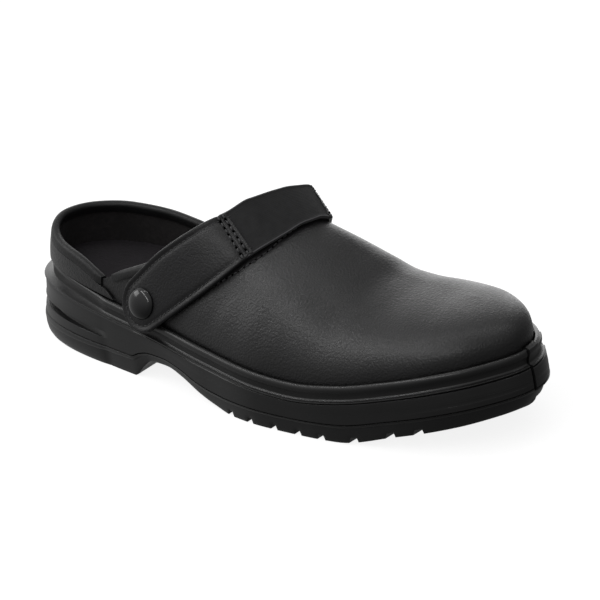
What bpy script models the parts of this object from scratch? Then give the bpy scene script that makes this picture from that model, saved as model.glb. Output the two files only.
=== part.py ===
# A safety clog for the right foot: a moulded sole with a bead round its rim, a hollow leather upper
# open at the heel collar, throat and underneath, a heel counter, edge bindings, and a strap of two
# leather tabs and an elastic that lies over the throat and turns on a press stud at each side.
import functools
import math

import bmesh
import bpy
import numpy as np

# Millimetres. x runs from the back of the heel to the toe, y from the outer side of the foot
# (lateral, negative) to the inner side (medial), and z up from the floor.
MM = 0.001
LATERAL = -1
MEDIAL = 1
GAP = 0.3

LENGTH = 295.0
WALL = 1.8
BEAD_REACH = 4.5
BEAD_HEIGHT = 8.8
LEDGE_DEPTH = 7.0
INSOLE_THICK = 3.0
COUNTER_THICK = 0.9
COUNTER_CLEAR = 0.4
COUNTER_LOW = 0.8
COUNTER_RAKE = 9.0
BINDING_WIDTH = 3.4
BINDING_LEATHER = 0.7
BINDING_TOP = 1.7
COLLAR_CLEAR = 0.4
THROAT_CLEAR = 0.8
NOTCH_AT = {LATERAL: 58.5, MEDIAL: 76.0}
THROAT_AT = 149.0
THROAT_ROUND = 0.46
TAB_THICK = 2.2
ELASTIC_THICK = 1.6
STUD_RADIUS = 8.0
STUD_DOME = 3.4
STUD_SEAT = 0.7
STUD_SHANK = 2.6
STUD_FLANGE = 4.6
STUD_REACH = 7.4
LUG_DEPTH = 3.6
LUG_SLOPE = 0.9

# How finely the surfaces are divided.
RIB_STEPS = 60
DIFFERENCE = 0.2
TURN_STEP = 0.003
SHARE_STEP = 0.01
RISE_SHARE = 0.85
RISE_CROWDING = 8.0
LUG_MARGIN = 3.0
HEEL_RIBS = 12
THROAT_RIBS = 13
VAMP_RIBS = 6
TOE_RIBS = 13
WALL_ROWS = 9
COLLAR_STEPS = 33
THROAT_BOUND = 0.96
STRAP_COLUMNS = 5
TAB_STEPS = 9
ELASTIC_STEPS = 12
INSOLE_RIBS = 26
COUNTER_ROWS = 4
TAB_END_ANGLES = (82, 65, 45, 22)
DOME_ANGLES = (8, 35, 60, 80)
STUD_SIDES = 18
CUT_REACH = 14.0


def table(names, *rows):
    return dict(zip(names.split(), np.array(rows, float).T))


# Half widths of the sole's rim, seen from above.
OUTLINE = table(
    "at lateral medial",
    (0, 0.0, 0.0),
    (10, 21.0, 22.0),
    (30, 31.8, 33.5),
    (60, 39.2, 38.2),
    (100, 45.5, 37.5),
    (135, 52.6, 38.5),
    (170, 57.6, 44.0),
    (200, 56.0, 50.5),
    (230, 51.2, 51.5),
    (255, 43.3, 45.5),
    (275, 31.3, 33.6),
    (287, 18.5, 21.3),
    (LENGTH, 0.0, 0.0),
)

# Heights of the groove under the bead, of the step above the tread and of the tread's underside.
LEVELS = table(
    "at groove tread bottom",
    (0, 31.3, 9.5, 2.2),
    (10, 31.0, 8.6, 0.5),
    (20, 30.6, 8.2, 0.0),
    (80, 26.8, 9.0, 0.0),
    (86, 26.3, 12.5, 6.0),
    (93, 25.6, 15.0, 11.4),
    (105, 24.5, 15.8, 12.2),
    (115, 23.6, 14.3, 10.0),
    (128, 22.6, 10.3, 5.2),
    (140, 21.7, 8.2, 2.0),
    (152, 20.9, 7.6, 0.0),
    (190, 18.9, 7.8, 0.0),
    (215, 21.5, 8.6, 0.3),
    (245, 27.7, 14.6, 7.0),
    (270, 33.0, 20.0, 12.3),
    (LENGTH, 37.4, 25.0, 17.6),
)

# The last: its ridge over the foot, and how full each side is between the sole and the ridge,
# 2 for a round section and more for a squarer one.
RIDGE = table(
    "at across height",
    (40, 0.0, 90.0),
    (90, 3.0, 90.0),
    (115, 5.5, 89.0),
    (130, 7.0, 87.5),
    (144, 8.5, 86.0),
    (153, 9.5, 83.8),
    (165, 10.0, 80.0),
    (176, 10.5, 76.3),
    (195, 12.0, 68.0),
    (210, 13.0, 62.5),
    (225, 13.0, 60.9),
    (240, 10.6, 60.9),
    (257, 10.1, 61.8),
)
FULLNESS = table(
    "at lateral medial",
    (0, 1.9, 1.9),
    (60, 2.0, 2.0),
    (95, 1.9, 2.0),
    (125, 1.7, 2.0),
    (150, 1.7, 2.0),
    (170, 1.85, 1.97),
    (195, 2.05, 1.95),
    (220, 2.2, 1.98),
    (255, 2.4, 2.53),
    (LENGTH, 3.15, 3.15),
)
HEEL_ROUND_TO = 70.0
SPINE_FROM = 70.0
SPINE_BACK = 25.0
SPINE_TO = 205.0
SPINE_FRONT = 55.4

# Heights of the collar's edge from the back of the heel to the notch on each side.
COLLAR = table(
    "share lateral medial",
    (0, 58.4, 58.4),
    (0.3, 53.9, 57.5),
    (0.65, 51.8, 55.6),
    (1, 46.0, 52.0),
)

# The underside of the strap, from the lateral stud to the medial one: its front and rear edges. It
# stands off the vamp like the handle of a pail, its rear edge higher than its front edge.
STRAP = table(
    "run front_x front_y front_z rear_x rear_y rear_z",
    (LATERAL, 101.6, -46.2, 33.0, 84.4, -38.7, 54.0),
    (-0.79, 118.0, -42.9, 46.1, 100.8, -35.9, 70.4),
    (-0.6, 133.1, -38.4, 58.5, 114.3, -29.7, 80.9),
    (-0.5, 142.3, -32.4, 67.0, 121.3, -23.2, 85.4),
    (-0.43, 149.5, -23.5, 74.2, 127.2, -15.3, 88.0),
    (-0.25, 154.9, -15.2, 78.1, 133.6, -4.8, 92.4),
    (-0.08, 158.7, -6.0, 80.7, 137.6, 5.4, 92.6),
    (0.08, 160.8, 3.0, 82.1, 140.4, 13.6, 92.3),
    (0.2, 163.0, 11.0, 82.0, 142.3, 22.9, 90.1),
    (0.3, 163.6, 18.0, 79.6, 143.1, 30.2, 87.6),
    (0.38, 158.0, 26.1, 74.1, 138.8, 32.6, 84.2),
    (0.5, 149.5, 33.3, 62.3, 130.5, 31.8, 79.0),
    (0.75, 132.8, 35.7, 47.8, 114.1, 30.2, 68.0),
    (MEDIAL, 115.4, 38.6, 31.1, 96.6, 33.7, 54.1),
)
SEAM = {LATERAL: -0.43, MEDIAL: 0.3}
SEAM_SLIT = 0.005

# The sole's side from the top of the bead to the floor. Level 3 is the top of the bead, 2 the
# groove, 1 the step above the tread and 0 the underside. The heel column adds to the inset at the
# back of the heel, where a groove and a flare run round and fade out towards the waist, and the toe
# column at the toe, where the wall flares out.
SOLE_SIDE = table(
    "inset level heel toe",
    (BEAD_REACH - GAP, 2.92, 0.0, 0.0),
    (2.7, 3.00, 0.4, 0.0),
    (1.5, 2.92, 0.8, 0.0),
    (1.6, 2.70, 0.9, 0.0),
    (1.9, 2.30, 0.4, 0.0),
    (1.5, 2.13, 0.0, 0.0),
    (0.0, 2.07, -0.7, 0.0),
    (1.3, 2.00, -0.6, 0.0),
    (0.5, 1.94, -0.6, -0.8),
    (0.5, 1.46, 1.2, -1.9),
    (0.5, 1.26, -1.6, -2.2),
    (0.8, 1.03, -3.2, -2.4),
    (1.7, 0.97, -3.7, -2.3),
    (2.0, 0.60, -4.2, -1.8),
    (2.8, 0.00, -2.6, -0.6),
)
HEEL_GROOVE_END = 60.0
TOE_FLARE_FROM = 240.0

# Gaps between the lugs: where each begins and ends, and 1 where it runs out through the side.
LUG_GAPS = table(
    "start end open",
    (34, 38, 0),
    (55, 59, 0),
    (148.7, 152.7, 1),
    (162, 166, 1),
    (177, 181, 1),
    (191, 195, 1),
    (204, 208.5, 1),
    (221.5, 226.5, 1),
    (240.5, 245.5, 1),
    (254, 259, 1),
)
CHANNELS = (0.34, 0.66)
CHANNEL_HALF = 0.02
CHANNEL_SLOPE = 0.008
HEEL_BORDER = 0.16
FOREFOOT_AT = 146.0
HEEL_END_AT = 80.0
TREAD_FROM = 10.0
TREAD_TO = 278.0


def binding_section(clear):
    """A binding folded over the edge of the wall: distances out from the wall, and past its edge."""
    out = COUNTER_CLEAR + COUNTER_THICK
    inside = -WALL - clear
    return (
        (out, -BINDING_WIDTH),
        (out, 0.2 * BINDING_TOP),
        (0.3 * out, 0.9 * BINDING_TOP),
        (-0.5 * WALL, BINDING_TOP),
        (-WALL, 0.9 * BINDING_TOP),
        (inside - BINDING_LEATHER, 0.2 * BINDING_TOP),
        (inside - BINDING_LEATHER, -BINDING_WIDTH),
        (inside, -BINDING_WIDTH),
        (inside, GAP),
        (GAP, GAP),
        (GAP, -BINDING_WIDTH),
    )


def smooth(xs, ys, at):
    """A cubic through a table's rows that never overshoots them."""
    at = np.clip(at, xs[0], xs[-1])
    widths = np.diff(xs)
    slopes = np.diff(ys) / widths
    bends = np.zeros(len(xs))
    bends[0], bends[-1] = slopes[0], slopes[-1]
    for i in range(1, len(xs) - 1):
        before, after = slopes[i - 1], slopes[i]
        if before * after > 0:
            early = 2 * widths[i] + widths[i - 1]
            late = widths[i] + 2 * widths[i - 1]
            bends[i] = (early + late) / (early / before + late / after)
    cell = np.clip(np.searchsorted(xs, at) - 1, 0, len(widths) - 1)
    width = widths[cell]
    t = (at - xs[cell]) / width
    rise = t * t * (3 - 2 * t)
    leave = t * (1 - t) ** 2
    arrive = t * t * (t - 1)
    return (
        ys[cell] * (1 - rise)
        + ys[cell + 1] * rise
        + width * (bends[cell] * leave + bends[cell + 1] * arrive)
    )


def level(name, at):
    return float(smooth(LEVELS["at"], LEVELS[name], at))


def feather(at):
    """Height of the line where the upper comes out of the sole's bead."""
    return level("groove", at) + BEAD_HEIGHT


def ledge(at):
    return feather(at) - LEDGE_DEPTH


def turn_at(at):
    """Angle along the length, 0 at the heel and pi at the toe, which opens up the round ends."""
    return np.arccos(np.clip(1 - 2 * np.asarray(at, float) / LENGTH, -1, 1))


def at_turn(turn):
    return LENGTH / 2 * (1 - math.cos(turn))


def split(around):
    """Side and angle along the length of a place round the shoe, which is 0 at the heel."""
    around = (around + math.pi) % (2 * math.pi) - math.pi
    return (LATERAL if around < 0 else MEDIAL), abs(around)


def half_width(turn, side):
    column = "lateral" if side == LATERAL else "medial"
    return smooth(turn_at(OUTLINE["at"]), OUTLINE[column], turn)


def edge_point(around, inset):
    """The rim's outline, moved in along its own normal."""
    side, turn = split(around)
    low, high = max(turn - TURN_STEP, 0.0), min(turn + TURN_STEP, math.pi)
    run = at_turn(high) - at_turn(low)
    widening = side * (half_width(high, side) - half_width(low, side))
    if turn in (0.0, math.pi):
        run = 0.0
    size = math.hypot(run, widening)
    inward = side * np.array((widening, -run)) / size
    return np.array((at_turn(turn), side * half_width(turn, side))) + inward * inset


def spine_at(at):
    """Where a rib reaches the ridge: ribs fan round the heel and the toe."""
    if at < SPINE_FROM:
        return SPINE_FROM - SPINE_BACK * math.tanh((SPINE_FROM - at) / SPINE_BACK)
    if at > SPINE_TO:
        return SPINE_TO + SPINE_FRONT * math.tanh((at - SPINE_TO) / SPINE_FRONT)
    return at


@functools.lru_cache(maxsize=None)
def rib(around):
    """One rib of the last, from the feather line to the ridge, and the length along it."""
    side, turn = split(around)
    at = at_turn(turn)
    foot = edge_point(around, BEAD_REACH)
    spine = spine_at(at)
    top = np.array((spine, smooth(RIDGE["at"], RIDGE["across"], spine)))
    top_height = smooth(RIDGE["at"], RIDGE["height"], spine)
    column = "lateral" if side == LATERAL else "medial"
    power = 2 / smooth(FULLNESS["at"], FULLNESS[column], at)
    angle = np.linspace(0, math.pi / 2, RIB_STEPS)
    angle[-1] = math.pi / 2
    reach = np.abs(np.cos(angle)) ** power
    reach[-1] = 0.0
    height = feather(at) + (top_height - feather(at)) * np.sin(angle) ** power
    points = np.column_stack((top + np.outer(reach, foot - top), height))
    lengths = np.concatenate(([0], np.cumsum(np.linalg.norm(np.diff(points, axis=0), axis=1))))
    return points, lengths


def rib_length(around):
    return float(rib(around)[1][-1])


def bare_point(around, rise):
    """A point on the last, a distance up the rib; below the feather line the wall drops straight."""
    points, lengths = rib(around)
    place = np.array([np.interp(rise, lengths, column) for column in points.T])
    place[2] += min(rise, 0.0)
    return place


def normal(around, rise):
    beside = bare_point(around + TURN_STEP, rise) - bare_point(around - TURN_STEP, rise)
    above = bare_point(around, rise + DIFFERENCE) - bare_point(around, rise - DIFFERENCE)
    out = np.cross(above, beside)
    return out / np.linalg.norm(out)


def on_last(around, rise, offset):
    return bare_point(around, rise) + normal(around, rise) * offset


def collar_height(side, share):
    column = "lateral" if side == LATERAL else "medial"
    return smooth(COLLAR["share"], COLLAR[column], share)


def notch_drop(side):
    """Distance down the rib from the ridge to the notch where counter and vamp part."""
    around = side * float(turn_at(NOTCH_AT[side]))
    return rib_length(around) - rise_to(around, collar_height(side, 1.0))


def rise_to(around, height):
    points, lengths = rib(around)
    return float(np.interp(height, points[:, 2], lengths))


def opening_rise(around):
    """Distance up the rib to the edge of the foot opening."""
    side, turn = split(around)
    at = at_turn(turn)
    notch = NOTCH_AT[side]
    if at <= notch:
        return rise_to(around, collar_height(side, at / notch))
    forward = min((at - notch) / (THROAT_AT - notch), 1.0)
    return rib_length(around) - notch_drop(side) * (1 - forward) ** THROAT_ROUND


def on_chart(at, from_ridge, offset):
    """A point over the last, by its place along the shoe and its distance from the ridge."""
    side = LATERAL if from_ridge < 0 else MEDIAL
    around = side * float(turn_at(at))
    return on_last(around, rib_length(around) - abs(from_ridge), offset)


def around_loop(medial, lateral):
    """Places round the shoe, from the heel along the medial side to the toe and back."""
    out = [float(turn_at(at)) for at in medial]
    return out + [-float(turn_at(at)) for at in lateral[-2:0:-1]]


def end_spaced(start, stop, count):
    """Stations that crowd together at the round ends of the shoe."""
    turns = np.linspace(turn_at(start), turn_at(stop), count)
    return [at_turn(turn) for turn in turns]


def sole_stations():
    stations = end_spaced(0, HEEL_ROUND_TO, HEEL_RIBS - 2)
    stations += [at for at in LEVELS["at"] if HEEL_ROUND_TO < at < FOREFOOT_AT]
    stations += end_spaced(SPINE_TO, LENGTH, TOE_RIBS)
    for start, end in zip(LUG_GAPS["start"], LUG_GAPS["end"]):
        stations = [at for at in stations if not start - LUG_MARGIN < at < end + LUG_MARGIN]
        stations += [start, start + LUG_SLOPE, end - LUG_SLOPE, end]
    return sorted(stations)


def in_gap(at):
    """1 at the bottom of a gap between lugs, 0 on a lug, and whether the gap is open at the side."""
    for start, end, is_open in zip(*LUG_GAPS.values()):
        if start + LUG_SLOPE - 0.01 <= at <= end - LUG_SLOPE + 0.01:
            return 1, is_open
    return 0, 0


def level_height(at, rank):
    heights = [level("bottom", at), level("tread", at), level("groove", at), feather(at)]
    return float(np.interp(rank, range(4), heights))


def sole_loop(places, row):
    """One loop round the sole's side, for a row of its profile."""
    points = []
    for around in places:
        at = at_turn(split(around)[1])
        fade = math.sqrt(max(0.0, 1 - at / HEEL_GROOVE_END))
        toe = max(0.0, (at - TOE_FLARE_FROM) / (LENGTH - TOE_FLARE_FROM))
        inset = SOLE_SIDE["inset"][row] + SOLE_SIDE["heel"][row] * fade + SOLE_SIDE["toe"][row] * toe
        rank = SOLE_SIDE["level"][row]
        height = level_height(at, rank)
        deep, is_open = in_gap(at)
        if rank == 0 and deep and is_open:
            height += LUG_DEPTH
        points.append((*edge_point(around, inset), height))
    return points


def tread_columns():
    """Shares of the width where the tread's blocks and channels begin, and 1 in a channel."""
    columns = []
    for middle in CHANNELS:
        far = CHANNEL_HALF + CHANNEL_SLOPE
        columns += [(middle - far, 0), (middle - CHANNEL_HALF, 1)]
        columns += [(middle + CHANNEL_HALF, 1), (middle + far, 0)]
    return [(HEEL_BORDER, 0)] + columns + [(1 - HEEL_BORDER, 0)]


def tread_point(lateral, medial, share, channel):
    """A point of the tread between the two sides of the sole."""
    place = lateral + (medial - lateral) * share
    at = (lateral[0] + medial[0]) / 2
    deep, is_open = in_gap(at)
    border = share in (HEEL_BORDER, 1 - HEEL_BORDER)
    place[2] = level("bottom", at)
    if FOREFOOT_AT < at < TREAD_TO and (deep or channel):
        place[2] += LUG_DEPTH
    if TREAD_FROM < at < HEEL_END_AT and (deep or channel) and not border:
        place[2] += LUG_DEPTH
    return place


def new_object(name, points, faces, material, sharp=40):
    """A mesh in metres, centred over the sole, with its repeated points joined."""
    mesh = bpy.data.meshes.new(name)
    mesh.from_pydata([tuple((np.asarray(p) - CENTRE) * MM) for p in points], [], faces)
    work = bmesh.new()
    work.from_mesh(mesh)
    bmesh.ops.remove_doubles(work, verts=work.verts, dist=1e-6)
    bmesh.ops.recalc_face_normals(work, faces=work.faces)
    work.to_mesh(mesh)
    work.free()
    mesh.shade_smooth()
    mesh.set_sharp_from_angle(angle=math.radians(sharp))
    mesh.materials.append(material)
    item = bpy.data.objects.new(name, mesh)
    bpy.context.scene.collection.objects.link(item)
    return item


def new_material(name, colour, roughness):
    material = bpy.data.materials.new(name)
    material.use_nodes = True
    shader = material.node_tree.nodes["Principled BSDF"]
    shader.inputs["Base Color"].default_value = (*colour, 1.0)
    shader.inputs["Roughness"].default_value = roughness
    shader.inputs["Metallic"].default_value = 0.0
    return material


def strips(first, second, closed):
    """Faces between two rows of point numbers, with repeated corners dropped."""
    count = len(first) if closed else len(first) - 1
    faces = []
    for i in range(count):
        j = (i + 1) % len(first)
        corners = tuple(dict.fromkeys((first[i], first[j], second[j], second[i])))
        if len(corners) > 2:
            faces.append(corners)
    return faces


def layered(outer, inner):
    """Points and faces of a patch with thickness, from two grids of points with open borders."""
    rows, columns = len(outer), len(outer[0])
    points = [p for grid in (outer, inner) for row in grid for p in row]
    number = np.arange(len(points)).reshape(2, rows, columns)
    faces = []
    for layer in number:
        for low, high in zip(layer, layer[1:]):
            faces += strips(list(low), list(high), False)
    border = [(0, c) for c in range(columns)] + [(r, columns - 1) for r in range(1, rows)]
    border += [(rows - 1, c) for c in range(columns - 2, -1, -1)]
    border += [(r, 0) for r in range(rows - 2, 0, -1)]
    edge = [[layer[r][c] for r, c in border] for layer in number]
    return points, faces + strips(edge[0], edge[1], True)


def swept(sections):
    """Points and faces of a bar through closed sections, capped at its ends."""
    points = [p for section in sections for p in section]
    loops = np.arange(len(points)).reshape(-1, len(sections[0]))
    faces = [tuple(loops[0]), tuple(loops[-1])]
    for near, far in zip(loops, loops[1:]):
        faces += strips(list(near), list(far), True)
    return points, faces


def build_sole(material):
    stations = sole_stations()
    places = around_loop(stations, stations)
    loops = [sole_loop(places, row) for row in range(len(SOLE_SIDE["level"]))]
    floor = [(x, y, ledge(at_turn(split(a)[1]))) for (x, y, _), a in zip(loops[0], places)]
    loops.insert(0, floor)
    size = len(places)
    points = [p for loop in loops for p in loop]
    rows = np.arange(len(points)).reshape(-1, size)
    faces = []
    for high, low in zip(rows, rows[1:]):
        faces += strips(list(high), list(low), True)
    toe = len(stations) - 1
    medial = list(range(toe + 1))
    lateral = [0] + list(range(size - 1, toe - 1, -1))
    faces += strips(list(rows[0][medial]), list(rows[0][lateral]), False)
    bottom = np.array(loops[-1])
    lines = [list(rows[-1][lateral])]
    for share, channel in tread_columns():
        line = [rows[-1][0]]
        for m, l in zip(medial[1:-1], lateral[1:-1]):
            line.append(len(points))
            points.append(tread_point(bottom[l], bottom[m], share, channel))
        lines.append(line + [rows[-1][toe]])
    lines.append(list(rows[-1][medial]))
    for right, left in zip(lines, lines[1:]):
        faces += strips(right, left, False)
    return new_object("sole", points, faces, material, 30)


def build_insole(material):
    stations = end_spaced(0, LENGTH, INSOLE_RIBS)
    places = around_loop(stations, stations)
    inset = BEAD_REACH + WALL + GAP
    loops = []
    for lift in (GAP, GAP + INSOLE_THICK):
        heights = [ledge(at_turn(split(around)[1])) + lift for around in places]
        loops.append([(*edge_point(around, inset), z) for around, z in zip(places, heights)])
    points = loops[0] + loops[1]
    rows = np.arange(len(points)).reshape(2, -1)
    toe = len(stations) - 1
    faces = strips(list(rows[0]), list(rows[1]), True)
    for row in rows:
        lateral = [row[0]] + list(row[:toe - 1:-1])
        faces += strips(list(row[:toe + 1]), lateral, False)
    return new_object("insole", points, faces, material)


def throat_forward(share):
    """How far forward the throat's edge is, by its share of the way down to the notch."""
    return 1 - abs(share) ** (1 / THROAT_ROUND)


def upper_stations(side):
    notch = NOTCH_AT[side]
    back = end_spaced(0, notch, HEEL_RIBS)
    throat = [notch + (THROAT_AT - notch) * throat_forward(s) for s in np.linspace(1, 0, THROAT_RIBS)]
    vamp = list(np.linspace(THROAT_AT, SPINE_TO, VAMP_RIBS))
    return back + throat[1:] + vamp[1:] + end_spaced(SPINE_TO, LENGTH, TOE_RIBS)[1:]


def ridge_normal(at):
    """Straight out of the ridge, the mean of the normals of the two ribs that meet there."""
    turn = float(turn_at(at))
    both = [normal(side * turn, rib_length(side * turn) - DIFFERENCE) for side in (LATERAL, MEDIAL)]
    mean = both[0] + both[1]
    return mean / np.linalg.norm(mean)


def wall_rises(around):
    """Heights up one rib: even low on the wall, and crowded under the edge of the opening."""
    length = rib_length(around)
    drop = length - opening_rise(around)
    crowding = min(max(RISE_SHARE * length / max(drop, DIFFERENCE), 1.0), RISE_CROWDING)
    shares = np.linspace(0, 1, WALL_ROWS)
    return [GAP - LEDGE_DEPTH] + list(length * shares - drop * shares**crowding)


def build_upper(material):
    places = around_loop(upper_stations(MEDIAL), upper_stations(LATERAL))
    outer, inner, closed = [], [], []
    for around in places:
        at = at_turn(split(around)[1])
        rises = wall_rises(around)
        outer.append([bare_point(around, rise) for rise in rises])
        inner.append([on_last(around, rise, -WALL) for rise in rises])
        closed.append(at > THROAT_AT - SHARE_STEP)
        if closed[-1]:
            inner[-1][-1] = outer[-1][-1] - ridge_normal(at) * WALL
    points = [p for grid in (outer, inner) for line in grid for p in line]
    number = np.arange(len(points)).reshape(2, len(places), -1)
    faces = []
    for layer in number:
        for low, high in zip(layer.T, layer.T[1:]):
            faces += strips(list(low), list(high), True)
    faces += strips(list(number[0, :, 0]), list(number[1, :, 0]), True)
    rim = strips(list(number[0, :, -1]), list(number[1, :, -1]), True)
    count = len(places)
    faces += [rim[i] for i in range(count) if not (closed[i] and closed[(i + 1) % count])]
    return new_object("upper", points, faces, material)


def build_counter(material):
    """The heel counter, an overlay on the wall from the bead up to the collar binding."""
    turns = np.linspace(-1, 1, 2 * HEEL_RIBS - 1)
    grids = []
    for offset in (COUNTER_CLEAR, COUNTER_CLEAR + COUNTER_THICK):
        grid = []
        for climb in np.linspace(0, 1, COUNTER_ROWS):
            line = []
            for share in turns:
                side = LATERAL if share < 0 else MEDIAL
                reach = NOTCH_AT[side] - GAP + COUNTER_RAKE * (1 - climb)
                around = share * float(turn_at(reach))
                high = opening_rise(around) - BINDING_WIDTH - GAP
                line.append(on_last(around, COUNTER_LOW + (high - COUNTER_LOW) * climb, offset))
            grid.append(line)
        grids.append(grid)
    return new_object("heel_counter", *layered(*grids), material)


def build_collar_binding(material):
    sections = []
    ends = [side * float(turn_at(NOTCH_AT[side] - GAP)) for side in (LATERAL, MEDIAL)]
    for around in np.linspace(*ends, COLLAR_STEPS):
        top = opening_rise(around)
        sections.append([on_last(around, top + past, out) for out, past in binding_section(COLLAR_CLEAR)])
    return new_object("collar_binding", *swept(sections), material)


def throat_place(share):
    """The throat's edge on the chart, by its signed share of the way from the ridge to the notch."""
    side = LATERAL if share < 0 else MEDIAL
    at = NOTCH_AT[side] + (THROAT_AT - NOTCH_AT[side]) * throat_forward(share)
    return np.array((at, share * notch_drop(side)))


def course(place, share):
    """Direction of a line on the chart, and the direction across it towards the heel."""
    low, high = max(share - SHARE_STEP, -1.0), min(share + SHARE_STEP, 1.0)
    along = place(high) - place(low)
    along /= np.linalg.norm(along)
    return along, np.array((-along[1], along[0]))


def build_throat_binding(material):
    sections = []
    shares = np.linspace(-1, 1, 2 * THROAT_RIBS - 1)
    for share in np.clip(shares, -THROAT_BOUND, THROAT_BOUND):
        back = course(throat_place, share)[1]
        edge = throat_place(share)
        sections.append([on_chart(*(edge + back * past), out) for out, past in binding_section(THROAT_CLEAR)])
    return new_object("throat_binding", *swept(sections), material)


def strap_edges(run):
    return [
        np.array([smooth(STRAP["run"], STRAP[edge + axis], run) for axis in ("_x", "_y", "_z")])
        for edge in ("front", "rear")
    ]


def strap_frame(run):
    """The strap at one place: its middle, and the directions along it, from front to rear, and out."""
    low, high = max(run - SHARE_STEP, -1.0), min(run + SHARE_STEP, 1.0)
    along = sum(strap_edges(high)) - sum(strap_edges(low))
    along /= np.linalg.norm(along)
    front, rear = strap_edges(run)
    out = np.cross(along, rear - front)
    return (front + rear) / 2, along, rear - front, out / np.linalg.norm(out)


def strap_row(run, beyond, share, over):
    """Points across a share of the strap's width, at a height over its underside."""
    middle, along, across, out = strap_frame(run)
    middle = middle + along * math.copysign(beyond, run) + out * over
    return [middle + across * share * step for step in np.linspace(-0.5, 0.5, STRAP_COLUMNS)]


def build_tab(name, side, material):
    """A leather tab, from its round end below the stud to its seam with the elastic."""
    radius = np.linalg.norm(strap_frame(side)[2]) / 2
    grids = []
    for over in (0.0, TAB_THICK):
        grid = []
        for angle in np.radians(TAB_END_ANGLES):
            grid.append(strap_row(side, radius * math.sin(angle), math.cos(angle), over))
        for run in np.linspace(side, SEAM[side], TAB_STEPS):
            grid.append(strap_row(run, 0, 1, over))
        grids.append(grid)
    return new_object(name, *layered(*grids), material)


def build_elastic(material):
    runs = np.linspace(SEAM[LATERAL] + SEAM_SLIT, SEAM[MEDIAL] - SEAM_SLIT, ELASTIC_STEPS)
    grids = []
    for over in (0.0, ELASTIC_THICK):
        grids.append([strap_row(run, 0, 1, over) for run in runs])
    return new_object("strap_elastic", *layered(*grids), material)


def stud_axis(side):
    """Point on the strap over the stud, and the direction straight out of the strap there."""
    middle, _, _, out = strap_frame(side)
    return middle + out * TAB_THICK, out


def turned(profile, centre, axis):
    """A solid turned about an axis, from a profile of radius and height that starts and ends on it."""
    beside = np.cross(axis, (0, 0, 1))
    beside /= np.linalg.norm(beside)
    above = np.cross(beside, axis)
    points = []
    for radius, height in profile:
        for angle in np.linspace(0, 2 * math.pi, STUD_SIDES, endpoint=False):
            spoke = beside * math.cos(angle) + above * math.sin(angle)
            points.append(centre + axis * height + spoke * radius)
    rows = np.arange(len(points)).reshape(-1, STUD_SIDES)
    faces = [tuple(rows[0]), tuple(rows[-1])]
    for low, high in zip(rows, rows[1:]):
        faces += strips(list(low), list(high), True)
    return points, faces


def build_stud(name, side, material):
    """A press stud: a domed cap on the strap, a shank through strap and upper, and a flange inside."""
    centre, axis = stud_axis(side)
    inside = -TAB_THICK - STUD_REACH
    profile = [(STUD_FLANGE, inside - COUNTER_THICK), (STUD_FLANGE, inside)]
    profile += [(STUD_SHANK, inside), (STUD_SHANK, STUD_SEAT), (STUD_RADIUS - GAP, STUD_SEAT)]
    for angle in np.radians(DOME_ANGLES):
        profile.append((STUD_RADIUS * math.cos(angle), STUD_SEAT + STUD_DOME * math.sin(angle)))
    return new_object(name, *turned(profile, centre, axis), material)


def cut_stud_hole(name, side, items):
    centre, axis = stud_axis(side)
    radius = STUD_SHANK + GAP
    cutter = new_object(name, *turned([(radius, -CUT_REACH), (radius, CUT_REACH)], centre, axis), None)
    cutter.hide_render = True
    cutter.display_type = "WIRE"
    for item in items:
        cut = item.modifiers.new(name, "BOOLEAN")
        cut.operation = "DIFFERENCE"
        cut.object = cutter


CENTRE = np.zeros(3)


def centre_over_sole():
    """Origin under the middle of the sole's own box."""
    stations = sole_stations()
    places = around_loop(stations, stations)
    rim = np.array([p for row in range(len(SOLE_SIDE["level"])) for p in sole_loop(places, row)])
    CENTRE[:2] = (rim.min(axis=0)[:2] + rim.max(axis=0)[:2]) / 2


def main():
    for item in list(bpy.data.objects):
        bpy.data.objects.remove(item, do_unlink=True)
    leather = new_material("leather", (0.012, 0.012, 0.013), 0.42)
    binding = new_material("binding", (0.011, 0.011, 0.012), 0.5)
    gloss = new_material("stud_lacquer", (0.008, 0.008, 0.009), 0.15)
    centre_over_sole()
    build_sole(new_material("sole_rubber", (0.014, 0.014, 0.015), 0.5))
    build_insole(new_material("insole_fabric", (0.02, 0.018, 0.02), 0.9))
    upper = build_upper(leather)
    build_counter(leather)
    build_collar_binding(binding)
    build_throat_binding(binding)
    build_elastic(new_material("elastic", (0.014, 0.014, 0.015), 0.85))
    for side, word in ((LATERAL, "lateral"), (MEDIAL, "medial")):
        tab = build_tab("strap_tab_" + word, side, leather)
        build_stud("stud_" + word, side, gloss)
        cut_stud_hole("stud_hole_" + word, side, (tab, upper))


main()
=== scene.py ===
import functools
import math

import bmesh
import bpy
import numpy as np
from mathutils import Matrix


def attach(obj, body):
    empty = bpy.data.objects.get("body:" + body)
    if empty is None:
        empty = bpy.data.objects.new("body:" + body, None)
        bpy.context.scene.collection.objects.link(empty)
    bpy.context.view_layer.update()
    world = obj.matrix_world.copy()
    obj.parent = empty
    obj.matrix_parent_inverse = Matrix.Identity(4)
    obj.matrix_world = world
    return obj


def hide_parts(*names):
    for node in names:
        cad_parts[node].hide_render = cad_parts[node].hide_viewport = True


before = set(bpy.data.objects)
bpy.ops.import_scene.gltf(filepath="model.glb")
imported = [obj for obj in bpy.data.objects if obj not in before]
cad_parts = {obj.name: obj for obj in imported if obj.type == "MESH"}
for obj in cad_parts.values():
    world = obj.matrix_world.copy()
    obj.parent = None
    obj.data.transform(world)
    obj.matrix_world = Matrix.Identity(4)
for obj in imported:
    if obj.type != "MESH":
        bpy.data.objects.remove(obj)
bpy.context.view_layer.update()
print("frame loaded:", sorted(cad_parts))

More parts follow.
